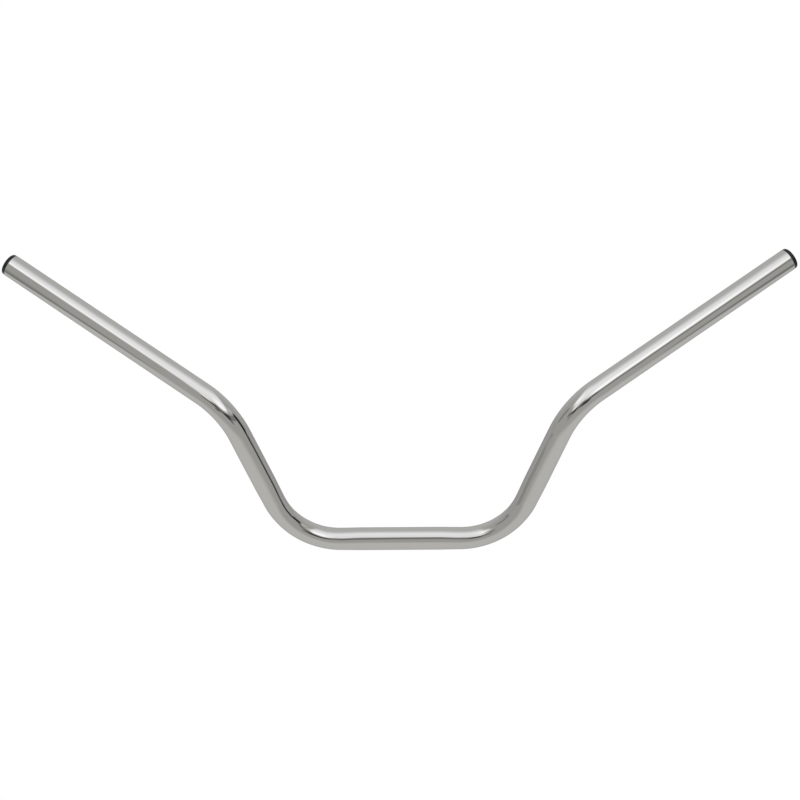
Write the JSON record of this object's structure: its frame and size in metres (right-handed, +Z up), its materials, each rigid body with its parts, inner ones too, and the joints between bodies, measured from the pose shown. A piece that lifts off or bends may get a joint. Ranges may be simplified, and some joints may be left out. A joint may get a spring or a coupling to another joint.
{
  "type": "motorcycle handlebar",
  "caption": "Bent chromed steel tube handlebar, one size of tube from end to end, with a push-in black plastic plug in each open end.",
  "frame": {"origin": "middle of the clamped length, on the tube's axis", "axes": "+X along the clamped length, towards the clutch side, which is the rider's left; +Y back towards the rider; +Z up, as mounted with level grips"},
  "size_m": [0.7664, 0.2704, 0.1192],
  "materials": {
    "chrome_plate": "polished chromium plate over a drawn steel tube",
    "black_plastic": "moulded black polyethylene with a soft sheen"
  },
  "bodies": {
    "bar": {"handlebar_tube": "chrome_plate"},
    "clutch_plug": {"clutch_end_plug": "black_plastic"},
    "throttle_plug": {"throttle_end_plug": "black_plastic"}
  },
  "joints": [
    {"name": "clutch_plug_pull", "type": "slide", "parent": "bar", "child": "clutch_plug", "axis": [0.8193, 0.5733, 0], "range_m": [0, 0.026]},
    {"name": "throttle_plug_pull", "type": "slide", "parent": "bar", "child": "throttle_plug", "axis": [-0.8193, 0.5733, 0], "range_m": [0, 0.026]}
  ]
}
